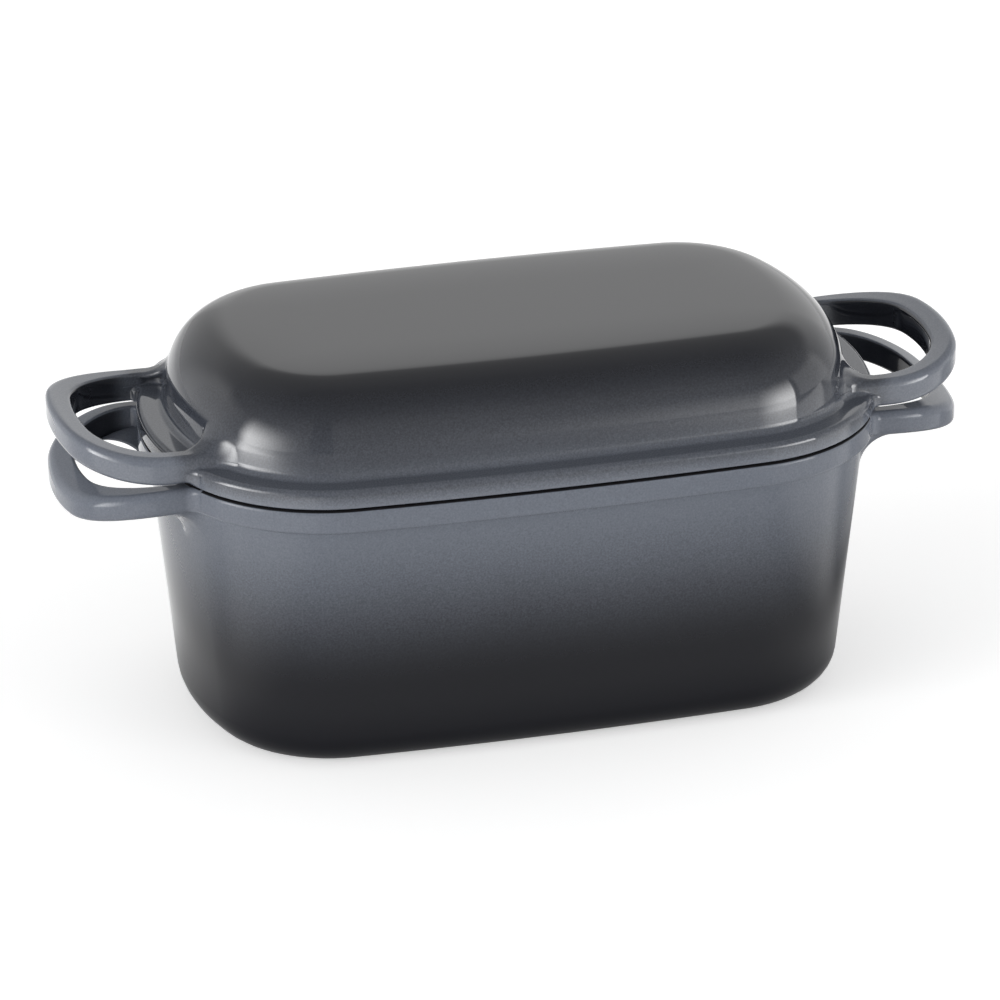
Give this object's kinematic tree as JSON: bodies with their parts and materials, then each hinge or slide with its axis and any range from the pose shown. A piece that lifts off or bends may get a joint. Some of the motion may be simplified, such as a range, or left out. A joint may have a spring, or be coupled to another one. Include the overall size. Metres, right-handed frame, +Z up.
{
  "type": "dutch oven",
  "caption": "Rectangular enamelled cast iron casserole with arched ends, a domed lid that rests on the pot, and loop handles cast on both.",
  "frame": {"origin": "middle of the flat underside of the pot", "axes": "+Z up, +X along the length through the handles, +Y across towards the back"},
  "size_m": [0.335, 0.1622, 0.144],
  "materials": {
    "pot_enamel": "gloss enamel, blue-grey at the rim fading to near black at the base, satin black inside",
    "lid_enamel": "gloss enamel, blue-grey flange and handles fading to a near black top, satin black inside"
  },
  "bodies": {
    "root": {"pot": "pot_enamel", "lid": "lid_enamel"}
  },
  "joints": []
}
